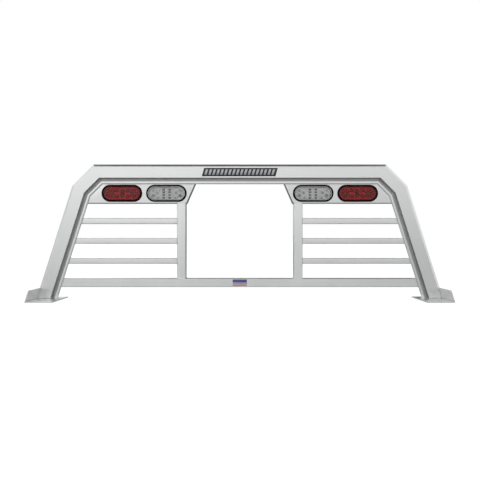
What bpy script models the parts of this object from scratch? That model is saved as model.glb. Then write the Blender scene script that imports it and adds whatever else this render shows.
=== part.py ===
"""Headache rack for a pickup truck: a welded aluminium frame with a rear window opening,
horizontal bars, two light panels with oval lamps, and feet that stand on the bed rails.
Metres, +Z up, -Y towards the tailgate. The origin is at the middle of the box that holds
the rack, on the plane that its feet stand on."""

import math

import bmesh
import bpy
from mathutils import Vector

MM = 0.001
GAP = 0.3 * MM
FORWARD = (-math.pi / 2, 0, 0)

# Outer edge of the frame, in the X and Z plane, from the middle of the top rail to the foot
TOP_Z = 586 * MM
TOP_CORNER_X = 634 * MM
KNEE_X = 726 * MM
KNEE_Z = 494 * MM
FOOT_X = 884 * MM  # where the leg's outer edge would meet the ground

# Feet: a base plate and an outboard gusset, and how far the plate reaches in front of the frame
PLATE_THICK = 4.8 * MM
PLATE_LENGTH = 236 * MM
PLATE_INNER_X = 770 * MM
PLATE_AHEAD = 142 * MM
GUSSET_HEIGHT = 51 * MM

# Frame extrusion, across (from the outer edge inwards) and deep (from the front face back)
WALL = 3 * MM
FRAME_WIDTH = 85 * MM
RIM_WIDTH = 9.5 * MM
RIM_DEPTH = 4.5 * MM
FACE_END = 58.5 * MM
LIP_START = 72.5 * MM
LIP_SET_BACK = 14 * MM
LIP_THICK = 4 * MM
LIP_BEVEL = 4.5 * MM
LIP_BEVEL_DEPTH = 2.2 * MM
TRACK_UNDERCUT = 4 * MM
TRACK_FLOOR = 27 * MM
BOX_WIDTH = 70 * MM
COPE_OVERRUN = 2 * MM

# Inner tubes: 1.5 by 2 inch for the posts and the bottom rail, 1 inch square for the bars
TUBE_WIDE = 38.1 * MM
TUBE_DEEP = 50.8 * MM
TUBE_RADIUS = 3.2 * MM
BAR_SIZE = 25.4 * MM
BAR_RADIUS = 2.6 * MM
BAR_WALL = 2 * MM
BOTTOM_RAIL_Z = 52 * MM
BAR_BOTTOMS = {"lower": 153.8 * MM, "middle": 240.9 * MM, "upper": 328 * MM}
POST_INNER_X = 236 * MM

# Light panels: folded sheet, closed below and at the slanted end beside the window
PANEL_BOTTOM_Z = 418.5 * MM
PANEL_END_LOW_X = 232 * MM
PANEL_END_SLOPE = 0.436

# Lamps: ovals with straight sides, turned sections stretched by LAMP_STRAIGHT each way
LAMP_Z = 461.6 * MM
LAMP_PLACES = {"stop": 514 * MM, "reverse": 320 * MM}
LAMP_STRAIGHT = 51.2 * MM
LAMP_STEPS = 24
LENS_RADIUS = 30.5 * MM
LENS_PROUD = 5.5 * MM
LENS_THICK = 2.7 * MM
LENS_DEEP = 11.2 * MM
GROMMET_RADIUS = 37.6 * MM
GROMMET_PROUD = 4 * MM
GROMMET_REAR_RADIUS = 35 * MM
GROMMET_BACK = 11.8 * MM
HOLE_RADIUS = 32.3 * MM
HOUSING_RADIUS = 28.2 * MM
HOUSING_BACK = 27.7 * MM
HOUSING_WALL = 2 * MM
BOARD_FRONT = 11.7 * MM
BOARD_THICK = 1.6 * MM
CHIP_SIZE = 5 * MM
CHIP_HEIGHT = 2 * MM
CHIP_QUADRANT = {"stop": [(0, 8), (24, 13), (50, 0)], "reverse": [(13, 8), (13, 22), (40, 8), (62, 6)]}
CONNECTOR_WIDE = 26 * MM
CONNECTOR_HIGH = 14 * MM
CONNECTOR_DEEP = 10 * MM
PIN_RADIUS = 1.8 * MM
PIN_SPACING = 7.5 * MM
PIN_LENGTH = 7 * MM

# Badge on the top rail and decal on the bottom rail
BADGE_SIZE = Vector((329, 1.2, 36)) * MM
DECAL_SIZE = Vector((62, 0.6, 30)) * MM

FRONT_Y = PLATE_AHEAD - PLATE_LENGTH / 2
LIP_BACK = LIP_SET_BACK + LIP_THICK
INNER_FRONT = LIP_BACK + GAP
FRAME_DEPTH = INNER_FRONT + TUBE_DEEP
TRACK_BACK = TRACK_FLOOR + WALL
TRACK_WALL = LIP_START + TRACK_UNDERCUT + WALL
INNER_Y = FRONT_Y + INNER_FRONT
PANEL_BACK_Y = INNER_Y + WALL
LEG_LEAN = (FOOT_X - KNEE_X) / KNEE_Z
SIDES = {"left": -1, "right": 1}

MATERIALS = {
    "extrusion": ((0.74, 0.75, 0.75), 0.34, 1.0),
    "tube": ((0.72, 0.73, 0.73), 0.36, 1.0),
    "panel": ((0.78, 0.79, 0.79), 0.40, 1.0),
    "foot": ((0.66, 0.67, 0.67), 0.42, 1.0),
    "rubber": ((0.012, 0.012, 0.013), 0.62, 0.0),
    "red_lens": ((0.30, 0.012, 0.018), 0.12, 0.0),
    "clear_lens": ((0.72, 0.74, 0.74), 0.10, 0.0),
    "housing": ((0.045, 0.045, 0.048), 0.50, 0.0),
    "board": ((0.80, 0.80, 0.76), 0.45, 0.0),
    "badge": ((0.035, 0.037, 0.040), 0.38, 0.6),
    "decal": ((0.10, 0.14, 0.42), 0.35, 0.0),
}


def clear_scene():
    for item in list(bpy.data.objects):
        bpy.data.objects.remove(item, do_unlink=True)


def new_collection(name):
    collection = bpy.data.collections.new(name)
    bpy.context.scene.collection.children.link(collection)
    return collection


def make_material(name):
    color, roughness, metallic = MATERIALS[name]
    material = bpy.data.materials.new(name)
    material.use_nodes = True
    shader = material.node_tree.nodes["Principled BSDF"]
    shader.inputs["Base Color"].default_value = (*color, 1)
    shader.inputs["Roughness"].default_value = roughness
    shader.inputs["Metallic"].default_value = metallic
    return material


def part(name, mesh, material, location=(0, 0, 0), rotation=(0, 0, 0)):
    """A finished sub-part: a named object in the rack's collection, parented to the rack's empty."""
    item = bpy.data.objects.new(name, mesh)
    item.location = location
    item.rotation_euler = rotation
    item.parent = rack_origin
    mesh.materials.clear()
    mesh.materials.append(materials[material])
    mesh.shade_smooth()
    mesh.set_sharp_from_angle(angle=math.radians(35))
    rack.objects.link(item)
    return item


def cutter(name, mesh, location=(0, 0, 0), rotation=(0, 0, 0), collection=None):
    item = bpy.data.objects.new(name, mesh)
    item.location = location
    item.rotation_euler = rotation
    item.hide_render = True
    item.display_type = "WIRE"
    (collection or cutters).objects.link(item)
    return item


def boolean(item, operation, other):
    """Cuts or joins one object, or every object of a collection."""
    modifier = item.modifiers.new(operation.lower(), "BOOLEAN")
    modifier.operation = operation
    modifier.solver = "EXACT"
    if isinstance(other, bpy.types.Collection):
        modifier.operand_type = "COLLECTION"
        modifier.collection = other
    else:
        modifier.object = other


def rounded(corners, steps=3):
    """Points of a flat outline. Each corner is (x, y, radius), and a radius becomes an arc of steps."""
    points = []
    for index, (x, y, radius) in enumerate(corners):
        corner = Vector((x, y))
        if not radius:
            points.append(corner)
            continue
        before = (Vector(corners[index - 1][:2]) - corner).normalized()
        after = (Vector(corners[(index + 1) % len(corners)][:2]) - corner).normalized()
        half = before.angle(after) / 2
        middle = corner + (before + after).normalized() * radius / math.sin(half)
        first = corner + before * radius / math.tan(half) - middle
        turn = first.angle_signed(corner + after * radius / math.tan(half) - middle)
        for step in range(steps + 1):
            angle = -turn * step / steps
            offset = Vector(
                (
                    first.x * math.cos(angle) - first.y * math.sin(angle),
                    first.x * math.sin(angle) + first.y * math.cos(angle),
                )
            )
            points.append(middle + offset)
    return points


def rectangle(wide, high, radius=0.0):
    """A rectangle centred on the origin."""
    x = wide / 2
    y = high / 2
    return rounded([(-x, -y, radius), (x, -y, radius), (x, y, radius), (-x, y, radius)])


def prism(name, loops, length):
    """A closed solid from flat loops, from z = 0 to z = length. Loops inside the first are holes."""
    curve = bpy.data.curves.new(name, "CURVE")
    curve.dimensions = "2D"
    curve.fill_mode = "BOTH"
    curve.extrude = length / 2
    for loop in loops:
        spline = curve.splines.new("POLY")
        spline.points.add(len(loop) - 1)
        for point, (x, y) in zip(spline.points, loop):
            point.co = (x, y, 0, 1)
        spline.use_cyclic_u = True
    return meshed(name, curve, move=(0, 0, length / 2))


def meshed(name, data, move=(0, 0, 0)):
    """The mesh that a curve, or a mesh with no modifiers, makes, with its loose caps welded."""
    temporary = bpy.data.objects.new(name + "_temporary", data)
    bpy.context.scene.collection.objects.link(temporary)
    graph = bpy.context.evaluated_depsgraph_get()
    mesh = bpy.data.meshes.new_from_object(temporary.evaluated_get(graph))
    mesh.name = name
    bpy.data.objects.remove(temporary, do_unlink=True)
    tidy(mesh, move)
    return mesh


def tidy(mesh, move=(0, 0, 0)):
    form = bmesh.new()
    form.from_mesh(mesh)
    bmesh.ops.remove_doubles(form, verts=form.verts, dist=0.001 * MM)
    bmesh.ops.translate(form, verts=form.verts, vec=move)
    bmesh.ops.recalc_face_normals(form, faces=form.faces)
    form.to_mesh(mesh)
    form.free()


def box_mesh(name, low, high):
    """A box between two corners."""
    mesh = bpy.data.meshes.new(name)
    form = bmesh.new()
    bmesh.ops.create_cube(form, size=1)
    size = Vector(high) - Vector(low)
    bmesh.ops.scale(form, verts=form.verts, vec=size)
    bmesh.ops.translate(form, verts=form.verts, vec=(Vector(high) + Vector(low)) / 2)
    form.to_mesh(mesh)
    form.free()
    return mesh


def oval(name, profile, closed):
    """A turned profile of (radius, depth) points, stretched sideways into an oval with straight sides.

    It is first turned by half a step, so that only its centre lies on the line where it is stretched.
    """
    outline = bpy.data.meshes.new(name)
    edges = [(index, index + 1) for index in range(len(profile) - 1)]
    if closed:
        edges.append((len(profile) - 1, 0))
    outline.from_pydata([(radius, 0, depth) for radius, depth in profile], edges, [])
    turned = bpy.data.objects.new(name + "_profile", outline)
    bpy.context.scene.collection.objects.link(turned)
    screw = turned.modifiers.new("turn", "SCREW")
    screw.steps = LAMP_STEPS
    screw.render_steps = LAMP_STEPS
    screw.use_merge_vertices = True
    screw.merge_threshold = 0.01 * MM
    graph = bpy.context.evaluated_depsgraph_get()
    mesh = bpy.data.meshes.new_from_object(turned.evaluated_get(graph))
    mesh.name = name
    bpy.data.objects.remove(turned, do_unlink=True)
    half_step = math.pi / LAMP_STEPS
    for vertex in mesh.vertices:
        x = vertex.co.x * math.cos(half_step) - vertex.co.y * math.sin(half_step)
        y = vertex.co.x * math.sin(half_step) + vertex.co.y * math.cos(half_step)
        if math.hypot(x, y) > WALL:
            x += math.copysign(LAMP_STRAIGHT, x)
        vertex.co.x = x
        vertex.co.y = y
    tidy(mesh)
    return mesh


def frame_section():
    """A box with a bevelled outer rim, and a bolt track between its face and a set-back inner lip."""
    outline = rounded(
        [
            (0, RIM_DEPTH, 0),
            (RIM_WIDTH, 0, 0),
            (FACE_END, 0, 0),
            (FACE_END, LIP_SET_BACK + WALL, 0),
            (FACE_END - TRACK_UNDERCUT, LIP_SET_BACK + WALL, 0),
            (FACE_END - TRACK_UNDERCUT, TRACK_FLOOR, 0),
            (LIP_START + TRACK_UNDERCUT, TRACK_FLOOR, 0),
            (LIP_START + TRACK_UNDERCUT, LIP_SET_BACK + WALL, 0),
            (LIP_START, LIP_SET_BACK + WALL, 0),
            (LIP_START, LIP_SET_BACK, 0),
            (FRAME_WIDTH - LIP_BEVEL, LIP_SET_BACK, 0),
            (FRAME_WIDTH, LIP_SET_BACK + LIP_BEVEL_DEPTH, 0),
            (FRAME_WIDTH, LIP_BACK, 0),
            (TRACK_WALL, LIP_BACK, 0),
            (TRACK_WALL, TRACK_BACK, 0),
            (BOX_WIDTH, TRACK_BACK, 0),
            (BOX_WIDTH, FRAME_DEPTH, WALL),
            (0, FRAME_DEPTH, WALL),
        ]
    )
    web = FACE_END - TRACK_UNDERCUT
    bevel = 1 + WALL * math.hypot(1 / RIM_WIDTH, 1 / RIM_DEPTH)
    front_hollow = [
        (WALL, RIM_DEPTH * (bevel - WALL / RIM_WIDTH)),
        (RIM_WIDTH * (bevel - WALL / RIM_DEPTH), WALL),
        (web - WALL, WALL),
        (web - WALL, FRAME_DEPTH - WALL),
        (WALL, FRAME_DEPTH - WALL),
    ]
    rear_hollow = [
        (web, TRACK_BACK),
        (BOX_WIDTH - WALL, TRACK_BACK),
        (BOX_WIDTH - WALL, FRAME_DEPTH - WALL),
        (web, FRAME_DEPTH - WALL),
    ]
    return [outline, front_hollow, rear_hollow]


def cope_section():
    """What the frame takes away from the ends of the tubes and panels that are fitted into it."""
    beyond = BOX_WIDTH
    return [
        [
            (-beyond, -GAP),
            (TRACK_WALL + GAP, -GAP),
            (TRACK_WALL + GAP, TRACK_BACK + GAP),
            (BOX_WIDTH + GAP, TRACK_BACK + GAP),
            (BOX_WIDTH + GAP, FRAME_DEPTH + GAP),
            (-beyond, FRAME_DEPTH + GAP),
        ]
    ]


def frame_path():
    """Corners of the frame's outer edge in X and Z, from the left foot over the top to the right foot."""
    foot_z = PLATE_THICK + GAP
    foot = Vector((FOOT_X - LEG_LEAN * foot_z, foot_z))
    right = [Vector((TOP_CORNER_X, TOP_Z)), Vector((KNEE_X, KNEE_Z)), foot]
    left = [Vector((-point.x, point.y)) for point in reversed(right)]
    return left + right


def frame_members(section, gap):
    """One mesh for each straight member of the frame, mitred at the corners and cut level at the feet.

    Each is (mesh, location, rotation). In the mesh X runs along the member and -Z points inwards.
    """
    path = frame_path()
    along = [(end - start).normalized() for start, end in zip(path, path[1:])]
    inward = [Vector((step.y, -step.x)) for step in along]
    mitres = [before + after for before, after in zip(inward, inward[1:])]
    cuts = [Vector((1, 0))] + mitres + [Vector((-1, 0))]
    members = []
    for index, (start, end) in enumerate(zip(path, path[1:])):
        step = along[index]
        length = (end - start).length
        mesh = prism("member", section, length)
        slopes = [cut.dot(step) / cut.dot(inward[index]) for cut in cuts[index : index + 2]]
        for vertex in mesh.vertices:
            across, depth, place = vertex.co
            at_end = place > length / 2
            trim = 0 if index + at_end in (0, len(path) - 1) else gap / 2
            place += across * slopes[at_end] + (-trim if at_end else trim)
            vertex.co = (place, depth, -across)
        tidy(mesh)
        angle = math.atan2(step.y, step.x)
        members.append((mesh, (start.x, FRONT_Y, start.y), (0, -angle, 0)))
    return members


def build_frame():
    names = ("leg_left", "corner_left", "top_rail", "corner_right", "leg_right")
    for name, (mesh, location, rotation) in zip(names, frame_members(frame_section(), GAP)):
        mesh.name = name
        part(name, mesh, "extrusion", location, rotation)
    for name, (mesh, location, rotation) in zip(names, frame_members(cope_section(), -COPE_OVERRUN)):
        cutter("cope_" + name, mesh, location, rotation, copes)


def tube_mesh(name, wide, high, radius, wall, length):
    """A hollow tube along Z, with rounded outer corners."""
    hollow = rectangle(wide - 2 * wall, high - 2 * wall)
    return prism(name, [rectangle(wide, high, radius), hollow], length)


def build_bottom_rail():
    """The lowest tube, fitted between the legs."""
    reach = FOOT_X - LEG_LEAN * (BOTTOM_RAIL_Z + TUBE_WIDE) - BOX_WIDTH / 2
    mesh = tube_mesh("bottom_rail", TUBE_WIDE, TUBE_DEEP, TUBE_RADIUS, WALL, 2 * reach)
    location = (-reach, INNER_Y + TUBE_DEEP / 2, BOTTOM_RAIL_Z + TUBE_WIDE / 2)
    rail = part("bottom_rail", mesh, "tube", location, (0, math.pi / 2, 0))
    boolean(rail, "DIFFERENCE", copes)


def build_posts():
    """The two uprights beside the window, from the bottom rail to the light panels."""
    low = BOTTOM_RAIL_Z + TUBE_WIDE + GAP
    length = PANEL_BOTTOM_Z - GAP - low
    for side, sign in SIDES.items():
        name = "window_post_" + side
        mesh = tube_mesh(name, TUBE_WIDE, TUBE_DEEP, TUBE_RADIUS, WALL, length)
        location = (sign * (POST_INNER_X + TUBE_WIDE / 2), INNER_Y + TUBE_DEEP / 2, low)
        part(name, mesh, "tube", location)


def build_bars():
    """Three square bars on each side, from the post to the leg."""
    start = POST_INNER_X + TUBE_WIDE + GAP
    for side, sign in SIDES.items():
        for level, bottom in BAR_BOTTOMS.items():
            name = "bar_" + level + "_" + side
            end = FOOT_X - LEG_LEAN * (bottom + BAR_SIZE) - BOX_WIDTH / 2
            mesh = tube_mesh(name, BAR_SIZE, BAR_SIZE, BAR_RADIUS, BAR_WALL, end - start)
            left_end = start if sign > 0 else -end
            location = (left_end, INNER_Y + BAR_SIZE / 2, bottom + BAR_SIZE / 2)
            bar = part(name, mesh, "tube", location, (0, math.pi / 2, 0))
            boolean(bar, "DIFFERENCE", copes)


def panel_outline(sign, inset):
    """A light panel's outline in X and -Z, before the frame trims it, moved in at its folded edges."""
    top_z = TOP_Z - BOX_WIDTH / 2
    low_z = PANEL_BOTTOM_Z + inset
    end_shift = inset * math.hypot(1, PANEL_END_SLOPE)
    low_x = PANEL_END_LOW_X + end_shift - PANEL_END_SLOPE * inset
    high_x = low_x - PANEL_END_SLOPE * (top_z - low_z)
    outer_x = KNEE_X
    return [
        (sign * low_x, -low_z),
        (sign * outer_x, -low_z),
        (sign * outer_x, -top_z),
        (sign * high_x, -top_z),
    ]


def build_panels():
    """Each panel is a folded tray that is open at the back, with two oval holes for the lamps."""
    hole_depth = 10 * MM
    hole = oval(
        "lamp_hole",
        [(0, hole_depth), (HOLE_RADIUS, hole_depth), (HOLE_RADIUS, -hole_depth), (0, -hole_depth)],
        False,
    )
    for side, sign in SIDES.items():
        name = "light_panel_" + side
        mesh = prism(name, [panel_outline(sign, 0)], TUBE_DEEP)
        panel = part(name, mesh, "panel", (0, INNER_Y, 0), FORWARD)
        inside = prism("panel_inside", [panel_outline(sign, WALL)], TUBE_DEEP)
        hollow = cutter("panel_inside_" + side, inside, (0, PANEL_BACK_Y, 0), FORWARD)
        boolean(panel, "DIFFERENCE", hollow)
        for use, x in LAMP_PLACES.items():
            place = (sign * x, INNER_Y, LAMP_Z)
            boolean(panel, "DIFFERENCE", cutter("hole_" + use + "_" + side, hole, place, FORWARD))
        boolean(panel, "DIFFERENCE", copes)


def lens_profile():
    """A cap that is open at the back. Depths are from the panel's front face."""
    front = -LENS_PROUD
    back = front + LENS_DEEP
    inner = LENS_RADIUS - LENS_THICK
    return [
        (0, front + LENS_THICK),
        (inner, front + LENS_THICK),
        (inner, back),
        (LENS_RADIUS, back),
        (LENS_RADIUS, front),
        (0, front),
    ]


def grommet_profile():
    """A ring with a groove that grips the panel, a bore for the lamp and an inner lip behind it."""
    bore = LENS_RADIUS + GAP
    groove = HOLE_RADIUS - GAP
    seat = housing_flange_back() + GAP
    lip = HOUSING_RADIUS + GAP
    return [
        (lip, GROMMET_BACK),
        (GROMMET_REAR_RADIUS, GROMMET_BACK),
        (GROMMET_REAR_RADIUS, WALL + GAP),
        (groove, WALL + GAP),
        (groove, -GAP),
        (GROMMET_RADIUS, -GAP),
        (GROMMET_RADIUS, -GROMMET_PROUD),
        (bore, -GROMMET_PROUD),
        (bore, seat),
        (lip, seat),
    ]


def housing_flange_back():
    return LENS_DEEP - LENS_PROUD + GAP + WALL


def housing_profile():
    """A cup that is open at the front, with a flange behind the lens and a ledge for the board."""
    flange_front = LENS_DEEP - LENS_PROUD + GAP
    inner = HOUSING_RADIUS - HOUSING_WALL
    ledge = BOARD_FRONT + BOARD_THICK + GAP
    return [
        (0, HOUSING_BACK),
        (HOUSING_RADIUS, HOUSING_BACK),
        (HOUSING_RADIUS, housing_flange_back()),
        (LENS_RADIUS, housing_flange_back()),
        (LENS_RADIUS, flange_front),
        (inner, flange_front),
        (inner, ledge),
        (inner - HOUSING_WALL, ledge),
        (inner - HOUSING_WALL, HOUSING_BACK - HOUSING_WALL),
        (0, HOUSING_BACK - HOUSING_WALL),
    ]


def board_profile():
    radius = HOUSING_RADIUS - HOUSING_WALL - GAP
    back = BOARD_FRONT + BOARD_THICK
    return [(0, back), (radius, back), (radius, BOARD_FRONT), (0, BOARD_FRONT)]


def chip_places(use):
    """Where the light-emitting chips sit on the board, from its centre."""
    signs = (-1, 1)
    places = {(a * x * MM, b * y * MM) for x, y in CHIP_QUADRANT[use] for a in signs for b in signs}
    return sorted(places)


def chips_mesh(use):
    """All the chips of one board, each sunk a little into it."""
    mesh = bpy.data.meshes.new("chips_" + use)
    form = bmesh.new()
    height = CHIP_HEIGHT + GAP
    for x, y in chip_places(use):
        chip = bmesh.ops.create_cube(form, size=1)["verts"]
        bmesh.ops.scale(form, verts=chip, vec=(CHIP_SIZE, CHIP_SIZE, height))
        bmesh.ops.translate(form, verts=chip, vec=(x, y, BOARD_FRONT + GAP - height / 2))
    form.to_mesh(mesh)
    form.free()
    return mesh


def connector_mesh():
    """The block and three pins at the back of a lamp."""
    mesh = bpy.data.meshes.new("connector")
    form = bmesh.new()
    block = bmesh.ops.create_cube(form, size=1)["verts"]
    sunk = HOUSING_WALL / 2
    bmesh.ops.scale(form, verts=block, vec=(CONNECTOR_WIDE, CONNECTOR_HIGH, CONNECTOR_DEEP + sunk))
    middle = HOUSING_BACK + (CONNECTOR_DEEP - sunk) / 2
    bmesh.ops.translate(form, verts=block, vec=(0, 0, middle))
    form.to_mesh(mesh)
    form.free()
    return mesh


def pins_mesh():
    mesh = bpy.data.meshes.new("pins")
    form = bmesh.new()
    start = HOUSING_BACK + CONNECTOR_DEEP - PIN_RADIUS
    for index in (-1, 0, 1):
        pin = bmesh.ops.create_cone(
            form, cap_ends=True, segments=10, radius1=PIN_RADIUS, radius2=PIN_RADIUS, depth=PIN_LENGTH
        )["verts"]
        bmesh.ops.translate(form, verts=pin, vec=(index * PIN_SPACING, 0, start + PIN_LENGTH / 2))
    form.to_mesh(mesh)
    form.free()
    return mesh


def build_lamps():
    """Four sealed lamps, each held in its panel by a rubber grommet."""
    shapes = {
        "lens": oval("lens", lens_profile(), False),
        "grommet": oval("grommet", grommet_profile(), True),
        "housing": oval("housing", housing_profile(), False),
        "board": oval("board", board_profile(), False),
    }
    connector = connector_mesh()
    pins = pins_mesh()
    for use, x in LAMP_PLACES.items():
        chips = chips_mesh(use)
        lens_finish = "red_lens" if use == "stop" else "clear_lens"
        finishes = {"lens": lens_finish, "grommet": "rubber", "housing": "housing", "board": "board"}
        for side, sign in SIDES.items():
            place = (sign * x, INNER_Y, LAMP_Z)
            for piece, mesh in shapes.items():
                name = use + "_lamp_" + piece + "_" + side
                item = part(name, mesh.copy(), finishes[piece], place, FORWARD)
                if piece == "board":
                    boolean(item, "UNION", cutter("chips_" + use + "_" + side, chips, place, FORWARD))
                if piece == "housing":
                    boolean(item, "UNION", cutter("block_" + use + "_" + side, connector, place, FORWARD))
                    boolean(item, "UNION", cutter("pins_" + use + "_" + side, pins, place, FORWARD))


def build_feet():
    """A base plate under each leg, and a gusset along its outer edge in front of the leg."""
    top_z = PLATE_THICK
    outer_x = FOOT_X - LEG_LEAN * (top_z + GAP)
    half = PLATE_LENGTH / 2
    gusset_length = PLATE_AHEAD - GAP
    for side, sign in SIDES.items():
        ends = sorted((sign * PLATE_INNER_X, sign * outer_x))
        plate = box_mesh("foot_plate_" + side, (ends[0], -half, 0), (ends[1], half, top_z))
        part("foot_plate_" + side, plate, "foot")
        low = top_z + GAP
        lean = LEG_LEAN * (GUSSET_HEIGHT - low)
        corners = [
            (sign * (outer_x - PLATE_THICK), -low),
            (sign * outer_x, -low),
            (sign * (outer_x - lean), -GUSSET_HEIGHT),
            (sign * (outer_x - lean - PLATE_THICK), -GUSSET_HEIGHT),
        ]
        gusset = prism("foot_gusset_" + side, [corners], gusset_length)
        part("foot_gusset_" + side, gusset, "foot", (0, -half, 0), FORWARD)


def build_marks():
    """A plain badge on the top rail's face and a plain decal on the bottom rail."""
    badge_z = TOP_Z - (RIM_WIDTH + FACE_END) / 2
    decal_z = BOTTOM_RAIL_Z + TUBE_WIDE / 2
    for name, size, front, z in (
        ("name_badge", BADGE_SIZE, FRONT_Y, badge_z),
        ("stripe_decal", DECAL_SIZE, INNER_Y, decal_z),
    ):
        place = (0, front - GAP - size.y / 2, z)
        part(name, box_mesh(name, -size / 2, size / 2), name.split("_")[1], place)


clear_scene()
rack = new_collection("headache_rack")
cutters = new_collection("cutters")
copes = bpy.data.collections.new("copes")
cutters.children.link(copes)
rack_origin = bpy.data.objects.new("rack_origin", None)
rack.objects.link(rack_origin)
materials = {name: make_material(name) for name in MATERIALS}

build_frame()
build_bottom_rail()
build_posts()
build_bars()
build_panels()
build_lamps()
build_feet()
build_marks()
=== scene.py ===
"""Looks for the headache rack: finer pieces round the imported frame, their materials, and a studio."""

import math

import bmesh
import bpy
from mathutils import Matrix, Vector, noise


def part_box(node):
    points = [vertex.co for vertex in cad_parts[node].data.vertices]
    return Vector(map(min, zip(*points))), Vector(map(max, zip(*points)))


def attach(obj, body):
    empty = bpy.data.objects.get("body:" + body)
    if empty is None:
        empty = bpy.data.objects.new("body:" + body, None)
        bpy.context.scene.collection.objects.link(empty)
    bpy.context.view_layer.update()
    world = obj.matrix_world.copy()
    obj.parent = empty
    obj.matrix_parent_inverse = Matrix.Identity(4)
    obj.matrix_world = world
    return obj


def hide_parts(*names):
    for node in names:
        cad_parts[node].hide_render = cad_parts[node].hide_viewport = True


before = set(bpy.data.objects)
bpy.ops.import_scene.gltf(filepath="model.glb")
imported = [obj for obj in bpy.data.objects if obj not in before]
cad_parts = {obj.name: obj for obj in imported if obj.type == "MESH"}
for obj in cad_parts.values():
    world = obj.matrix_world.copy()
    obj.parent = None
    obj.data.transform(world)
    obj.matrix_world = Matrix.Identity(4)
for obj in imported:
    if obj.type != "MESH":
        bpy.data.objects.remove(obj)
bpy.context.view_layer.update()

MM = 0.001
SIDES = {"left": -1, "right": 1}
FRAME_MEMBERS = ("leg_left", "corner_left", "top_rail", "corner_right", "leg_right")

# Camera
CAMERA_PLACE = (0.0009, -2.574, 0.258)
FOCAL_LENGTH = 45
SENSOR_WIDTH = 36

# Floor: how bright it is to reflections in a pool of light before the rack and far from it, where that
# pool starts and stops fading, and the shift that puts its middle in front of the rack
FLOOR_HALF = 60
FLOOR_NEAR = 0.30
FLOOR_FAR = 0.02
POOL_START = 0.7
POOL_END = 4.2
POOL_SHIFT = (0, 0.7, 0)

# Light from above
TOP_LIGHT_PLACE = (0, 0.6, 3.4)
TOP_LIGHT_TARGET = (0, 0, 0.2)
TOP_LIGHT_SIZE = (5.0, 2.6)
TOP_LIGHT_WATTS = 22

# Edge radii, and how far in from a member's outer edge its sharp-edged lip starts
EXTRUSION_EDGE = 0.9 * MM
LIP_EDGE = 0.25 * MM
LIP_START = 80 * MM
TUBE_EDGE = 0.4 * MM
SHEET_FOLD = 2.0 * MM
PLATE_EDGE = 0.8 * MM

# The panels' slanting folds are longer than this and end nearer the middle than this
FOLD_LENGTH = 60 * MM
FOLD_INNER = 0.235

# The bolt track's inside, which is given painted shade, across from the outer edge and back from the front
# face
TRACK_START = 53.5 * MM
TRACK_END = 77.5 * MM
TRACK_LEDGE = 1.2 * MM
TRACK_DEEP = 28 * MM
TRACK_SHELF = 16 * MM

# Welds: ripples, turns and radii, the fills at the posts' ends, how far behind its front a tube's bead
# starts, the panels' stitches and how far from the middle they end, and how far in from the outer edge
# a member's inner side wall and a foot's upright plate reach
WELD_PITCH = 2.6 * MM
WELD_SIDES = 12
WELD_TURN = 3 * MM
BAR_BEAD = 2.2 * MM
TUBE_BEAD = 2.6 * MM
FRAME_BEAD = 2.6 * MM
CORNER_FILL = 3.2 * MM
RIM_START = 3.5 * MM
STITCH = 40 * MM
STITCH_COUNT = 4
STITCH_SINK = 0.6 * MM
STITCH_END = 0.600
BOX_WALL = 70 * MM
PLATE_THICK = 4.8 * MM

# Lamps
LAMP_RIM_STEPS = 96
LENS_THICK = 2.6 * MM
LENS_CROWN = 0.5 * MM
LENS_SHOULDER = 1.8 * MM
LENS_PITCH = 1.1 * MM
PILLOW_PITCH = 5.2 * MM
PILLOW_DEPTH = 0.07 * MM
GROMMET_LIP = 5.6 * MM
GROMMET_STEP = 2.6 * MM
FIT = 0.3 * MM
SHEET = 3 * MM
CUP_BACK = 27.7 * MM
BOARD_THICK = 1.6 * MM
CHIP_SIZE = 4.6 * MM
WIDE_CHIP_SIZE = 6.4 * MM
CHIP_HEIGHT = 1.1 * MM
JOINT_HALF = 0.6 * MM
JOINT_HEIGHT = 0.35 * MM
DOME_WALL = 1.2 * MM
DOME_HEIGHT = 2.6 * MM
BIG_DOME = 6.5 * MM
HOOD_HEIGHT = 1.9 * MM
MIDDLE_COLUMNS = 20 * MM
BOARD_SEAT = 13.6 * MM
RIB_PITCH = 15 * MM
RIB_HALF = 0.9 * MM
RIB_HEIGHT = 1.2 * MM
BLOCK_HALF = (13 * MM, 7 * MM)
BLOCK_LENGTH = 10 * MM
PIN_PITCH = 7.5 * MM
PIN_RADIUS = 1.8 * MM

# Badge: its plate's slant, and its bars' number, height, slant, thickness and margin
BADGE_LEAN = 10 * MM
BADGE_BARS = 18
BADGE_BAR_HEIGHT = 25 * MM
BADGE_BAR_LEAN = 7 * MM
BADGE_BAR_THICK = 0.6 * MM
BADGE_MARGIN = 12 * MM


# ------------ camera, floor and light


def new_object(name, data):
    item = bpy.data.objects.new(name, data)
    bpy.context.scene.collection.objects.link(item)
    return item


def build_camera():
    data = bpy.data.cameras.new("camera")
    data.lens = FOCAL_LENGTH
    data.sensor_width = SENSOR_WIDTH
    data.clip_start = 0.05
    data.clip_end = 200
    camera = new_object("camera", data)
    camera.location = CAMERA_PLACE
    camera.rotation_euler = (math.pi / 2, 0, 0)
    bpy.context.scene.camera = camera
    bpy.context.scene.view_settings.view_transform = "Standard"


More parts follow.
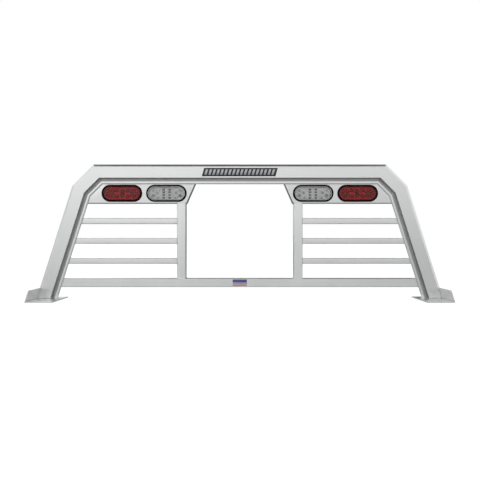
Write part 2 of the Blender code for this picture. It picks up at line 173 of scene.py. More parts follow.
def build_floor():
    """A pale floor. The camera sees it as white; reflections see a pool of light round the rack."""
    mesh = bpy.data.meshes.new("floor")
    form = bmesh.new()
    bmesh.ops.create_grid(form, x_segments=1, y_segments=1, size=FLOOR_HALF)
    form.to_mesh(mesh)
    form.free()
    floor = new_object("floor", mesh)
    material, tree, shader = new_material(
        "floor",
        Base_Color=rgb(0.14, 0.14, 0.14),
        Roughness=0.9,
        Specular_IOR_Level=0.1,
        Emission_Color=rgb(1, 1, 1),
    )
    place = tree.position()
    away = tree.add("ShaderNodeVectorMath")
    away.operation = "LENGTH"
    shifted = tree.add("ShaderNodeMapping", Vector=place, Location=POOL_SHIFT)
    tree.set(away.inputs[0], shifted.outputs["Vector"])
    pool = tree.ramp(away.outputs["Value"], POOL_START, POOL_END, FLOOR_NEAR, FLOOR_FAR)
    camera_ray = tree.add("ShaderNodeLightPath").outputs["Is Camera Ray"]
    tree.wire(shader, Emission_Strength=tree.mix(camera_ray, pool, 1.0))
    mesh.materials.append(material)


def build_world():
    """A plain studio. The camera sees it as white. Reflections see a bright front, brightest left of
    the middle, a dim stretch straight behind the rack and right of it, and a ceiling dim in the middle."""
    world = bpy.data.worlds.new("studio")
    world.use_nodes = True
    tree = Tree(world.node_tree)
    world.node_tree.nodes.clear()
    direction = tree.add("ShaderNodeTexCoord").outputs["Generated"]
    axes = tree.add("ShaderNodeSeparateXYZ", Vector=direction)
    across, away, up = axes.outputs["X"], axes.outputs["Y"], axes.outputs["Z"]

    def fade(value, *ends):
        return tree.ramp(value, *ends, shape="SMOOTHSTEP")

    front = fade(across, -0.30, 0.40, 1.36, 0.98)
    front = tree.maths("MULTIPLY", front, fade(across, -0.95, -0.55, 0.5, 1.0))
    behind = tree.maths("ADD", fade(across, -0.28, -0.04, 0.95, 0.08), fade(across, 0.60, 0.95, 0.0, 0.70))
    level = tree.mix(fade(away, 0.10, 0.45, 0.0, 1.0), front, behind)
    ceiling = fade(tree.maths("ABSOLUTE", across), 0.25, 0.62, 0.03, 1.0)
    ceiling = tree.mix(fade(away, -0.1, 0.5, 0.0, 1.0), ceiling, fade(across, -0.3, 0.2, 0.85, 0.25))
    level = tree.mix(fade(up, 0.34, 0.62, 0.0, 1.0), level, ceiling)
    camera_ray = tree.add("ShaderNodeLightPath").outputs["Is Camera Ray"]
    level = tree.mix(camera_ray, level, 1.0)
    background = tree.add("ShaderNodeBackground", Color=level)
    tree.add("ShaderNodeOutputWorld", Surface=background.outputs["Background"])
    bpy.context.scene.world = world


def build_light():
    """One wide, soft light overhead and a little behind."""
    data = bpy.data.lights.new("top_light", "AREA")
    data.shape = "RECTANGLE"
    data.size, data.size_y = TOP_LIGHT_SIZE
    data.energy = TOP_LIGHT_WATTS
    light = new_object("top_light", data)
    light.location = TOP_LIGHT_PLACE
    direction = Vector(TOP_LIGHT_TARGET) - Vector(TOP_LIGHT_PLACE)
    light.rotation_euler = direction.to_track_quat("-Z", "Y").to_euler()


# ------------ node helpers


class Tree:
    """Adds nodes to a node tree. A socket's value is a number, a colour, a name or another socket."""

    def __init__(self, tree):
        self.tree = tree

    def add(self, kind, **values):
        node = self.tree.nodes.new(kind)
        self.wire(node, **values)
        return node

    def wire(self, node, **values):
        for name, value in values.items():
            self.set(node.inputs[name.replace("_", " ")], value)

    def set(self, socket, value):
        if isinstance(value, bpy.types.NodeSocket):
            self.tree.links.new(value, socket)
        else:
            socket.default_value = value

    def position(self):
        return self.add("ShaderNodeTexCoord").outputs["Object"]

    def maths(self, operation, *values):
        node = self.tree.nodes.new("ShaderNodeMath")
        node.operation = operation
        for socket, value in zip(node.inputs, values):
            self.set(socket, value)
        return node.outputs[0]

    def mix(self, factor, low, high):
        node = self.tree.nodes.new("ShaderNodeMix")
        node.data_type = "FLOAT"
        for name, value in (("Factor", factor), ("A", low), ("B", high)):
            self.set(node.inputs[name], value)
        return node.outputs["Result"]

    def blend(self, factor, low, high):
        node = self.tree.nodes.new("ShaderNodeMix")
        node.data_type = "RGBA"
        sockets = [socket for socket in node.inputs if socket.type == "RGBA"]
        self.set(node.inputs["Factor"], factor)
        for socket, value in zip(sockets, (low, high)):
            self.set(socket, value)
        return next(socket for socket in node.outputs if socket.type == "RGBA")

    def noise(self, scale, detail, roughness, vector=None):
        """Noise over a vector, or else over the object's own space in metres."""
        vector = self.position() if vector is None else vector
        node = self.add("ShaderNodeTexNoise", Vector=vector, Scale=scale)
        node.inputs["Detail"].default_value = detail
        node.inputs["Roughness"].default_value = roughness
        return node.outputs["Fac"]

    def stretched(self, vector, along, across):
        """The vector scaled by one number along the grain and another across it."""
        node = self.add("ShaderNodeMapping", Vector=vector)
        node.inputs["Scale"].default_value = (along, across, across)
        return node.outputs["Vector"]

    def ramp(self, value, *ends, shape="LINEAR"):
        """ends are the value's low and high, and what each of them becomes."""
        node = self.add("ShaderNodeMapRange", Value=value)
        node.interpolation_type = shape
        for name, number in zip(("From Min", "From Max", "To Min", "To Max"), ends):
            node.inputs[name].default_value = number
        return node.outputs["Result"]

    def bump(self, height, distance, strength=1.0):
        node = self.add("ShaderNodeBump", Height=height, Distance=distance, Strength=strength)
        return node.outputs["Normal"]


def new_material(name, **values):
    """A Principled material with its plain values set. Returns it, its tree and its shader."""
    material = bpy.data.materials.new(name)
    material.use_nodes = True
    shader = material.node_tree.nodes["Principled BSDF"]
    for key, value in values.items():
        shader.inputs[key.replace("_", " ")].default_value = value
    return material, Tree(material.node_tree), shader


def rgb(r, g, b):
    return (r, g, b, 1)


# ------------ materials


def aluminium(name, tone, roughness, grain, mottle):
    """Satin mill-finish aluminium. The UV map 'grain' runs in metres along and across each member."""
    material, tree, shader = new_material(name, Metallic=1.0, Specular_IOR_Level=0.5)
    coordinates = tree.add("ShaderNodeUVMap")
    coordinates.uv_map = "grain"
    uv = coordinates.outputs["UV"]
    lines = tree.noise(1.0, 2.0, 0.5, tree.stretched(uv, 9, 1300))
    streaks = tree.noise(1.0, 3.0, 0.55, tree.stretched(uv, 2.2, 150))
    cloud = tree.noise(7.0, 4.0, 0.55)
    fine = tree.noise(420.0, 2.0, 0.5)
    streak_shade = tree.ramp(streaks, 0.3, 0.7, -0.02, 0.02)
    cloud_shade = tree.ramp(cloud, 0.3, 0.7, -mottle, mottle)
    shade = tree.maths("ADD", streak_shade, cloud_shade)
    shade = tree.maths("ADD", shade, tree.ramp(lines, 0.3, 0.7, -0.015, 0.015))
    level = tree.maths("ADD", shade, 0.5)
    dark = rgb(*(channel * 0.88 for channel in tone))
    light = rgb(*(min(1.0, channel * 1.10) for channel in tone))
    tree.wire(shader, Base_Color=tree.blend(tree.ramp(level, 0.4, 0.6, 0.2, 0.8), dark, light))
    streak_rough = tree.ramp(streaks, 0.3, 0.7, -0.015, 0.015)
    cloud_rough = tree.ramp(cloud, 0.3, 0.7, -0.02, 0.02)
    rough = tree.maths("ADD", streak_rough, cloud_rough)
    rough = tree.maths("ADD", rough, tree.ramp(fine, 0.3, 0.7, -0.008, 0.008))
    tree.wire(shader, Roughness=tree.maths("ADD", rough, roughness))
    tree.wire(shader, Normal=tree.bump(tree.maths("MULTIPLY", lines, grain), 0.00003, 0.3))
    return material


def weld_metal():
    """Bead metal: bright ripples with a slightly sooty, rougher skin."""
    material, tree, shader = new_material("weld_bead", Metallic=1.0)
    cloud = tree.noise(60.0, 4.0, 0.6)
    fine = tree.noise(900.0, 3.0, 0.6)
    tree.wire(
        shader,
        Base_Color=tree.blend(cloud, rgb(0.56, 0.57, 0.57), rgb(0.78, 0.79, 0.79)),
        Roughness=tree.ramp(cloud, 0.3, 0.7, 0.34, 0.52),
        Normal=tree.bump(fine, 0.0001, 0.5),
    )
    return material


def rubber():
    """Matt black rubber with a fine moulded skin."""
    material, tree, shader = new_material("rubber", Specular_IOR_Level=0.03)
    cloud = tree.noise(45.0, 4.0, 0.6)
    fine = tree.noise(1500.0, 2.0, 0.5)
    tone = tree.blend(cloud, rgb(0.002, 0.002, 0.002), rgb(0.006, 0.006, 0.006))
    tree.wire(
        shader,
        Base_Color=tone,
        Roughness=tree.ramp(cloud, 0.3, 0.7, 0.5, 0.68),
        Normal=tree.bump(fine, 0.00008, 0.6),
    )
    return material


def lens_plastic(name, color, roughness, clear, ior=1.33):
    """Moulded plastic. The tint is the same all through, so it sits on the socket."""
    material, tree, shader = new_material(
        name, Base_Color=color, Transmission_Weight=clear, IOR=ior, Roughness=roughness
    )
    flow = tree.noise(30.0, 2.0, 0.5)
    tree.wire(shader, Normal=tree.bump(flow, 0.0004, 0.2))
    return material


def moulded_black():
    """Black moulded plastic."""
    material, tree, shader = new_material("moulded_black")
    cloud = tree.noise(35.0, 4.0, 0.6)
    fine = tree.noise(1100.0, 3.0, 0.55)
    tone = tree.blend(cloud, rgb(0.022, 0.022, 0.024), rgb(0.045, 0.045, 0.047))
    tree.wire(
        shader,
        Base_Color=tone,
        Roughness=tree.ramp(cloud, 0.3, 0.7, 0.4, 0.58),
        Normal=tree.bump(fine, 0.00012, 0.6),
    )
    return material


def board_mask(name, low, high):
    """Solder mask with faint copper runs under it."""
    material, tree, shader = new_material(name, Roughness=0.42)
    position = tree.position()
    runs = tree.add("ShaderNodeTexBrick", Vector=position, Scale=90.0)
    runs.inputs["Mortar Size"].default_value = 0.035
    cloud = tree.noise(120.0, 3.0, 0.6)
    tone = tree.blend(tree.ramp(cloud, 0.35, 0.65, 0.0, 1.0), low, high)
    shaded = tree.blend(tree.maths("MULTIPLY", runs.outputs["Fac"], 0.35), tone, rgb(0.2, 0.25, 0.2))
    tree.wire(shader, Base_Color=shaded, Normal=tree.bump(runs.outputs["Fac"], 0.0001, 0.4))
    return material


def plain_detail(name, low, high, roughness, scale=300.0, metallic=0.0):
    """A small part's finish: two close tones in fine noise."""
    material, tree, shader = new_material(name, Metallic=metallic)
    cloud = tree.noise(scale, 3.0, 0.6)
    tree.wire(
        shader,
        Base_Color=tree.blend(cloud, low, high),
        Roughness=tree.ramp(cloud, 0.3, 0.7, roughness - 0.06, roughness + 0.06),
        Normal=tree.bump(cloud, 0.00005, 0.4),
    )
    return material


def decal_print():
    """Plain printed bands across the vinyl: blue above, then pale and red."""
    material, tree, shader = new_material("decal_print", Roughness=0.3, Coat_Weight=0.4)
    position = tree.position()
    up = tree.add("ShaderNodeSeparateXYZ", Vector=position).outputs["Z"]
    low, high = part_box("stripe_decal")
    place = tree.ramp(up, low.z, high.z, 0.0, 1.0)
    stripe = tree.maths("GREATER_THAN", tree.maths("FRACT", tree.maths("MULTIPLY", place, 4.6)), 0.5)
    bands = tree.blend(stripe, rgb(0.78, 0.78, 0.78), rgb(0.60, 0.02, 0.04))
    is_blue = tree.maths("GREATER_THAN", place, 0.54)
    printed = tree.blend(is_blue, bands, rgb(0.015, 0.03, 0.30))
    cloud = tree.noise(300.0, 3.0, 0.6)
    wear = tree.maths("MULTIPLY", cloud, 0.1)
    tree.wire(shader, Base_Color=tree.blend(wear, printed, rgb(0.4, 0.4, 0.4)))
    tree.wire(shader, Normal=tree.bump(cloud, 0.00003, 0.3))
    return material


MATERIALS = {
    # The track's darker tone is painted shade for the recess inside the bolt track; its higher roughness is
    # the finish.
    "track": aluminium("track_painted_shade", (0.66, 0.665, 0.66), 0.56, 1.2, 0.05),
    "extrusion": aluminium("satin_extrusion", (0.79, 0.80, 0.80), 0.33, 1.0, 0.035),
    "tube": aluminium("satin_tube", (0.835, 0.845, 0.845), 0.325, 0.9, 0.035),
    "panel": aluminium("satin_sheet", (0.76, 0.77, 0.77), 0.33, 0.8, 0.03),
    # The folds' near-black tone is painted shade along the panels' bent front edges.
    "fold": aluminium("fold_painted_shade", (0.17, 0.175, 0.175), 0.5, 1.0, 0.03),
    "foot": aluminium("satin_plate", (0.91, 0.92, 0.92), 0.36, 0.8, 0.05),
    "weld": weld_metal(),
    "rubber": rubber(),
    "red_lens": lens_plastic("red_lens", rgb(0.84, 0.11, 0.13), 0.02, 0.99),
    "clear_lens": lens_plastic("clear_lens", rgb(0.99, 0.995, 0.99), 0.02, 0.95, 1.38),
    "red_rim": lens_plastic("red_rim", rgb(0.20, 0.02, 0.025), 0.30, 0.30),
    "clear_rim": lens_plastic("clear_rim", rgb(0.92, 0.93, 0.92), 0.30, 0.30),
    "liner": plain_detail("white_liner", rgb(0.88, 0.89, 0.89), rgb(0.96, 0.96, 0.96), 0.35),
    "housing": moulded_black(),
    "board_stop": board_mask("board_stop", rgb(0.60, 0.60, 0.54), rgb(0.96, 0.95, 0.94)),
    "board_reverse": board_mask("board_reverse", rgb(0.90, 0.91, 0.91), rgb(0.99, 0.99, 0.99)),
    "chip_violet": plain_detail("chip_violet", rgb(0.17, 0.17, 0.24), rgb(0.28, 0.28, 0.37), 0.25),
    "chip_frame": plain_detail("chip_frame", rgb(0.70, 0.70, 0.69), rgb(0.86, 0.86, 0.85), 0.4),
    "chip_glow": plain_detail("chip_glow", rgb(0.80, 0.77, 0.34), rgb(0.92, 0.90, 0.50), 0.3),
    # Near-black: painted shade standing in for the chips' dark reflector cups.
    "hood_painted_shade": plain_detail("hood_painted_shade", rgb(0.006, 0.006, 0.007), rgb(0.016, 0.016, 0.018), 0.35),
    "chip_grey": plain_detail("chip_grey", rgb(0.36, 0.38, 0.34), rgb(0.48, 0.50, 0.46), 0.3),
    "chip_red": plain_detail("chip_red", rgb(0.85, 0.45, 0.45), rgb(0.95, 0.62, 0.60), 0.25),
    "decal": decal_print(),
    "solder": plain_detail("solder", rgb(0.70, 0.70, 0.72), rgb(0.86, 0.86, 0.88), 0.22, 500.0, 1.0),
    "badge": plain_detail("badge", rgb(0.025, 0.027, 0.030), rgb(0.045, 0.047, 0.050), 0.38, 250.0, 0.2),
    "badge_bars": plain_detail(
        "badge_bars", rgb(0.42, 0.43, 0.44), rgb(0.52, 0.53, 0.54), 0.34, 250.0, 0.7
    ),
}


# ------------ mesh helpers


def link(name, mesh, material, node=None):
    """A piece of the rack that rides on its one body, and stands for a CAD node if one is named."""
    piece = new_object(name, mesh)
    mesh.materials.append(MATERIALS[material])
    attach(piece, "root")
    if node:
        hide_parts(node)
    return piece


def mesh_of(name, form, angle=40):
    """The form's mesh, shaded smooth except where its faces meet at more than the angle."""
    mesh = bpy.data.meshes.new(name)
    form.to_mesh(mesh)
    form.free()
    mesh.shade_smooth()
    mesh.set_sharp_from_angle(angle=math.radians(angle))
    return mesh


def grain_map(mesh, along, side=None):
    """Writes the 'grain' UV map: metres along the grain, and across it over faces of any facing."""
    along = Vector(along).normalized()
    side = Vector(side) if side else along.cross(Vector((0, 1, 0)))
    side = side.normalized()
    third = along.cross(side)
    layer = mesh.uv_layers.get("grain") or mesh.uv_layers.new(name="grain")
    for loop in mesh.loops:
        point = mesh.vertices[loop.vertex_index].co
        layer.data[loop.index].uv = (point.dot(along), point.dot(side) + point.dot(third))


def cad_form(node):
    """A welded copy of a CAD node's mesh with its flat faces whole."""
    form = bmesh.new()
    form.from_mesh(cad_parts[node].data)
    bmesh.ops.remove_doubles(form, verts=form.verts, dist=0.01 * MM)
    bmesh.ops.dissolve_limit(form, angle_limit=math.radians(1), verts=form.verts, edges=form.edges)
    return form


def edge_angle(edge):
    return math.degrees(edge.calc_face_angle(0.0))


def bevel(form, edges, width, segments):
    bmesh.ops.bevel(
        form,
        geom=list(edges),
        offset=width,
        segments=segments,
        profile=0.5,
        affect="EDGES",
        clamp_overlap=True,
    )


def metal_piece(node, form, slot, along, side=None):
    """The finer piece for a CAD node of metal. Wide flat faces stay flat beside their rounded edges."""
    mesh = mesh_of(node, form)
    grain_map(mesh, along, side)
    piece = link(node + "_fine", mesh, slot, node)
    normals = piece.modifiers.new("normals", "WEIGHTED_NORMAL")
    normals.keep_sharp = True
    normals.weight = 80
    return piece


def form_piece(name, form, material, node=None, angle=40):
    return link(name, mesh_of(name, form, angle), material, node)


def add_box(form, low, high, edge=0.0):
    verts = bmesh.ops.create_cube(form, size=1)["verts"]
    size = Vector(high) - Vector(low)
    bmesh.ops.scale(form, verts=verts, vec=size)
    bmesh.ops.translate(form, verts=verts, vec=(Vector(high) + Vector(low)) / 2)
    if edge:
        edges = {item for vert in verts for item in vert.link_edges}
        bevel(form, edges, edge, 2)


def skin(form, rings):
    """Adds faces between each ring of vertices and the next, and returns them."""
    made = []
    for before, after in zip(rings, rings[1:]):
        for index in range(len(before)):
            following = (index + 1) % len(before)
            made.append(form.faces.new((before[index], before[following], after[following], after[index])))
    return made


def cap(form, rings):
    """Closes the first ring and the last."""
    return [form.faces.new(list(reversed(rings[0]))), form.faces.new(rings[-1])]


# ------------ frame, tubes, panels and feet


def member_direction(node):
    """The direction of a CAD member's longest straight edge."""
    best = Vector((1, 0, 0))
    longest = 0
    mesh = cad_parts[node].data
    for edge in mesh.edges:
        step = mesh.vertices[edge.vertices[1]].co - mesh.vertices[edge.vertices[0]].co
        if step.length > longest and abs(step.y) < 0.1 * MM:
            longest = step.length
            best = step.normalized()
    return best if best.x > 0 else -best


def stretch_ends(form, along, distance):
    """Moves a member's end faces outwards, so that welded neighbours meet with no gap."""
    moves = {}
    for face in form.faces:
        if abs(face.normal.dot(along)) > 0.5 and abs(face.normal.y) < 0.1:
            for vert in face.verts:
                moves[vert] = face.normal * distance
    for vert, move in moves.items():
        vert.co += move


def outward(node, along):
    """The direction across a frame member, away from the rack's opening."""
    side = along.cross(Vector((0, 1, 0))).normalized()
    low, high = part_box(node)
    middle = (low + high) / 2 - Vector((0, 0, 0.25))
    return side if side.dot(middle) > 0 else -side


def shade_track(mesh, node, along):
    """Gives the faces inside the bolt track the second material: rougher metal whose darker tone is painted
    shade in the recess.
    """
    out = outward(node, along)
    edge = max(vertex.co.dot(out) for vertex in mesh.vertices)
    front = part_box("top_rail")[0].y
    mesh.materials.append(MATERIALS["track"])
    for face in mesh.polygons:
        reach = edge - face.center.dot(out)
        depth = face.center.y - front
        on_lip = face.normal.y < -0.1 and depth < TRACK_SHELF
        if TRACK_START < reach < TRACK_END and TRACK_LEDGE < depth < TRACK_DEEP and not on_lip:
            face.material_index = 1


def build_frame():
    for node in FRAME_MEMBERS:
        along = member_direction(node)
        out = outward(node, along)
        form = cad_form(node)
        stretch_ends(form, along, FIT / 2)
        rim = max(vert.co.dot(out) for vert in form.verts)
        ridges = []
        lips = []
        for edge in form.edges:
            first, second = (vert.co for vert in edge.verts)
            if edge_angle(edge) > 18 and abs((second - first).normalized().dot(along)) > 0.999:
                is_lip = rim - first.dot(out) > LIP_START
                (lips if is_lip else ridges).append(edge)
        bevel(form, ridges, EXTRUSION_EDGE, 3)
        lips = [edge for edge in lips if edge.is_valid]
        bevel(form, lips, LIP_EDGE, 2)
        piece = metal_piece(node, form, "extrusion", along)
        shade_track(piece.data, node, along)


def build_tubes():
    nodes = [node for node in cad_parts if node.startswith(("bar_", "window_post", "bottom_rail"))]
    for node in sorted(nodes):
        along = Vector((0, 0, 1)) if node.startswith("window_post") else Vector((1, 0, 0))
        form = cad_form(node)
        stretch_ends(form, along, FIT * 0.9)
        ends = [edge for edge in form.edges if edge_angle(edge) > 50]
        bevel(form, ends, TUBE_EDGE, 2)
        metal_piece(node, form, "tube", along)


def build_panels():
    for side in SIDES:
        node = "light_panel_" + side
        low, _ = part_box(node)
        form = cad_form(node)
        folds = []
        for edge in form.edges:
            if edge_angle(edge) < 40:
                continue
            ends = [vert.co for vert in edge.verts]
            at_front = all(abs(point.y - low.y) < 0.05 * MM for point in ends)
            level = abs(ends[0].z - ends[1].z) < 0.1 * MM and abs(ends[0].z - low.z) < 0.1 * MM
            inner = min(abs(ends[0].x), abs(ends[1].x))
            slant = (ends[1] - ends[0]).length > FOLD_LENGTH and inner < FOLD_INNER
            if at_front and (level or slant):
                folds.append(edge)
        bevel(form, folds, SHEET_FOLD, 5)
        piece = metal_piece(node, form, "panel", (1, 0, 0))
        # The faces of the front folds get the near-black metal: painted shade along the folds.
        piece.data.materials.append(MATERIALS["fold"])
        for face in piece.data.polygons:
            if -0.97 < face.normal.y < -0.1 and face.center.y < low.y + SHEET_FOLD:
                face.material_index = 1


def build_feet():
    for side in SIDES:
        for part in ("foot_plate_", "foot_gusset_"):
            node = part + side
            form = cad_form(node)
            bevel(form, [edge for edge in form.edges if edge_angle(edge) > 40], PLATE_EDGE, 3)
            metal_piece(node, form, "foot", (0, 1, 0), (1, 0, 0))


# ------------ welds


def path_place(path, lengths, reach):
    """The point that lies a given length along a path, and the path's direction there."""
    index = 0
    while index < len(path) - 2 and lengths[index + 1] <= reach:
        index += 1
    share = (reach - lengths[index]) / (lengths[index + 1] - lengths[index])
    along = (path[index + 1] - path[index]).normalized()
    return path[index].lerp(path[index + 1], share), along


def add_bead(form, path, radius):
    """Adds a bead of overlapping ripples along a path of points, sunk into the corner that it fills."""
    path = [Vector(point) for point in path]
    lengths = [0.0]
    for before, after in zip(path, path[1:]):
        lengths.append(lengths[-1] + (after - before).length)
    length = lengths[-1]
    steps = max(8, round(length / WELD_PITCH * 5))
    seed = path[0].x * 31 + path[0].y * 17 + path[0].z * 7
    rings = []
    for step in range(steps + 1):
        place = length * step / steps
        middle, along = path_place(path, lengths, place)
        guide = Vector((0.31, 0.17, 0.93)) if abs(along.z) < 0.8 else Vector((0, 1, 0))
        side = along.cross(guide).normalized()
        other = along.cross(side)
        taper = math.sin(math.pi / 2 * min(1.0, min(place, length - place) / (radius * 1.2) + 0.15))
        wobble = 0.08 * noise.noise(Vector((place * 90, seed, 0)))
        ring = []
        for corner in range(WELD_SIDES):
            angle = 2 * math.pi * corner / WELD_SIDES
            phase = (place / WELD_PITCH + 0.18 * math.cos(2 * angle)) % 1.0
            reach = radius * taper * (0.92 + 0.14 * (1 - phase) ** 2 + wobble)
            ring.append(form.verts.new(middle + (side * math.cos(angle) + other * math.sin(angle)) * reach))
        rings.append(ring)
    bmesh.ops.recalc_face_normals(form, faces=skin(form, rings) + cap(form, rings))


def weld(name, paths, radius):
    """One piece made of a bead along each path."""
    form = bmesh.new()
    for path in paths:
        add_bead(form, path, radius)
    form_piece(name, form, "weld", angle=60)


def rear_rim(low, high, point):
    """A tube end's outline in its own plane, from its front edge round the back and to the front again.

    low and high are the section's corners as (across, y), and point places (across, y) in space.
    """
    start = low[1] + RIM_START
    outline = [(high[0], start)]
    for centre_across, turn in ((high[0] - WELD_TURN, 0), (low[0] + WELD_TURN, 90)):
        for step in range(4):
            angle = math.radians(turn + step * 30)
            across = centre_across + math.cos(angle) * WELD_TURN
            outline.append((across, high[1] - WELD_TURN + math.sin(angle) * WELD_TURN))
    outline.append((low[0], start))
    return [point(across, y) for across, y in outline]


def leg_lean():
    direction = member_direction("leg_right")
    return abs(direction.x / direction.z)


def bar_end_path(node, sign, at_leg):
    """The rear rim of a level tube's end, at the leg or at the post."""
    low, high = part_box(node)
    if not at_leg:
        x = min(abs(low.x), abs(high.x))
        return rear_rim((low.z, low.y), (high.z, high.y), lambda z, y: (sign * x, y, z))
    x = max(abs(low.x), abs(high.x))
    lean = leg_lean()
    return rear_rim((low.z, low.y), (high.z, high.y), lambda z, y: (sign * (x - lean * (z - low.z)), y, z))


def post_end_path(node, at_top):
    low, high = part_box(node)
    z = high.z if at_top else low.z
    return rear_rim((low.x, low.y), (high.x, high.y), lambda x, y: (x, y, z))


def flush_fill(name, low, high, slot):
    """Weld metal ground level with the faces that it joins."""
    form = bmesh.new()
    add_box(form, low, high, 0.3 * MM)
    mesh = mesh_of(name, form)
    grain_map(mesh, (0, 0, 1))
    link(name, mesh, slot)


def build_tube_welds():
    for side, sign in SIDES.items():
        for level in ("lower", "middle", "upper"):
            node = f"bar_{level}_{side}"
            paths = [bar_end_path(node, sign, True), bar_end_path(node, sign, False)]
            weld(node + "_welds", paths, BAR_BEAD)
        weld("bottom_rail_weld_" + side, [bar_end_path("bottom_rail", sign, True)], TUBE_BEAD)
        post = "window_post_" + side
        weld(post + "_welds", [post_end_path(post, False), post_end_path(post, True)], TUBE_BEAD)
        low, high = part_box(post)
        fills = (
            ("_foot_fill", low.z - CORNER_FILL, low.z + FIT),
            ("_head_fill", high.z - FIT, high.z + CORNER_FILL),
        )
        for name, bottom, top in fills:
            start = (low.x + CORNER_FILL, low.y + 0.03 * MM, bottom)
            end = (high.x - CORNER_FILL, low.y + CORNER_FILL, top)
            flush_fill(post + name, start, end, "tube")


def end_faces(node):
    """A member's end faces: their points on its rear plane and on its inner side wall."""
    along = member_direction(node)
    out = outward(node, along)
    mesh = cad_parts[node].data
    ends = {}
    for face in mesh.polygons:
        if abs(face.normal.dot(along)) > 0.5 and abs(face.normal.y) < 0.1:
            end = face.normal.dot(along) > 0
            ends.setdefault(end, set()).update(face.vertices)
    edge = max(vertex.co.dot(out) for vertex in mesh.vertices)
    found = []
    for end in sorted(ends):
        points = [mesh.vertices[index].co.copy() for index in ends[end]]
        back = max(point.y for point in points)
        rear = [point for point in points if point.y > back - 0.05 * MM]
        rear.sort(key=lambda point: point.dot(out))
        wall = [point for point in points if abs(edge - point.dot(out) - BOX_WALL) < 0.1 * MM]
        wall.sort(key=lambda point: point.y)
        found.append((rear, wall))
    return found


def build_frame_welds():
    """Beads across the back and up the inner side of each mitre. The front is ground flush."""
    for side in SIDES:
        paths = []
        for rear, wall in end_faces("corner_" + side):
            paths.append([rear[0], rear[-1]])
            if len(wall) > 1:
                paths.append([wall[0], wall[-1]])
        weld(f"corner_{side}_welds", paths, FRAME_BEAD)


def build_foot_welds():
    """Beads round the leg's base, along the gusset's foot and up its rear end."""
    lean = leg_lean()
    stretch = math.hypot(1, lean)
    for side, sign in SIDES.items():
        leg_low, leg_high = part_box("leg_" + side)
        plate_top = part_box("foot_plate_" + side)[1].z
        outer = max(abs(leg_low.x), abs(leg_high.x))
        inner = outer - BOX_WALL * stretch

        def point(x, y, z=plate_top):
            return (sign * (x - lean * (z - plate_top)), y, z)

        front = leg_low.y
        back = leg_high.y
        paths = [
            [point(outer - 11 * MM, front), point(inner + 14 * MM, front)],
            [point(inner, front + 32 * MM), point(inner, back - 3 * MM)],
            [point(inner + 3 * MM, back), point(outer - 3 * MM, back)],
        ]
        weld(f"leg_{side}_base_welds", paths, FRAME_BEAD)
        gusset_low, gusset_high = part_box("foot_gusset_" + side)
        inner = outer - PLATE_THICK * stretch
        rear = gusset_high.y + 0.6 * MM
        paths = [
            [point(inner, gusset_low.y + 5 * MM), point(inner, gusset_high.y)],
            [point(inner, rear, plate_top + 3 * MM), point(inner, rear, gusset_high.z - 1.5 * MM)],
        ]
        weld(f"foot_gusset_{side}_welds", paths, FRAME_BEAD)


def build_panel_welds():
    """Short stitches at the back, where each panel's top flange meets the top rail's underside."""
    for side, sign in SIDES.items():
        low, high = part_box("light_panel_" + side)
        paths = []
        inner = min(abs(low.x), abs(high.x))
        for index in range(STITCH_COUNT):
            x = inner + (0.10 + 0.24 * index) * (STITCH_END - inner)
            start = Vector((sign * x, high.y - STITCH_SINK, high.z + FIT))
            paths.append([start, start + Vector((sign * STITCH, 0, 0))])
        weld(f"light_panel_{side}_stitches", paths, BAR_BEAD)


# ------------ lamps


def rounded(corners, steps=4):
    """Points of a flat outline. Each corner is (x, y, radius), and a radius becomes an arc of steps."""
    points = []
    for index, (x, y, radius) in enumerate(corners):
        corner = Vector((x, y))
        if not radius:
            points.append(corner)
            continue
        before = (Vector(corners[index - 1][:2]) - corner).normalized()
        after = (Vector(corners[(index + 1) % len(corners)][:2]) - corner).normalized()
        half = before.angle(after) / 2
        middle = corner + (before + after).normalized() * radius / math.sin(half)
        first = corner + before * radius / math.tan(half) - middle
        turn = first.angle_signed(corner + after * radius / math.tan(half) - middle)
        for step in range(steps + 1):
            points.append(middle + Matrix.Rotation(-turn * step / steps, 2) @ first)
    return points


def lamp_frame(use, side):
    """A lamp's centre on the panel's front plane, its straight half-length and its lens radius."""
    low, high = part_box(f"{use}_lamp_lens_{side}")
    radius = (high.z - low.z) / 2
    straight = (high.x - low.x) / 2 - radius
    panel_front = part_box("light_panel_" + side)[0].y
    return Vector(((low.x + high.x) / 2, panel_front, (low.z + high.z) / 2)), straight, radius


def close_up(form):
    """Joins vertices that meet, and turns the faces outwards."""
    bmesh.ops.remove_doubles(form, verts=form.verts, dist=0.002 * MM)
    bmesh.ops.recalc_face_normals(form, faces=form.faces)


def turned_oval(form, centre, straight, profile):
    """Adds a closed profile of (radius, depth) turned round Y, with straight sides added at the middle."""
    rings = []
    for step in range(LAMP_RIM_STEPS):
        angle = 2 * math.pi * (step + 0.5) / LAMP_RIM_STEPS
        shift = math.copysign(straight, math.cos(angle))
        ring = []
        for radius, depth in profile:
            x = centre.x + math.cos(angle) * radius + shift
            ring.append(form.verts.new((x, centre.y + depth, centre.z + math.sin(angle) * radius)))
        rings.append(ring)
    skin(form, rings + rings[:1])
    close_up(form)


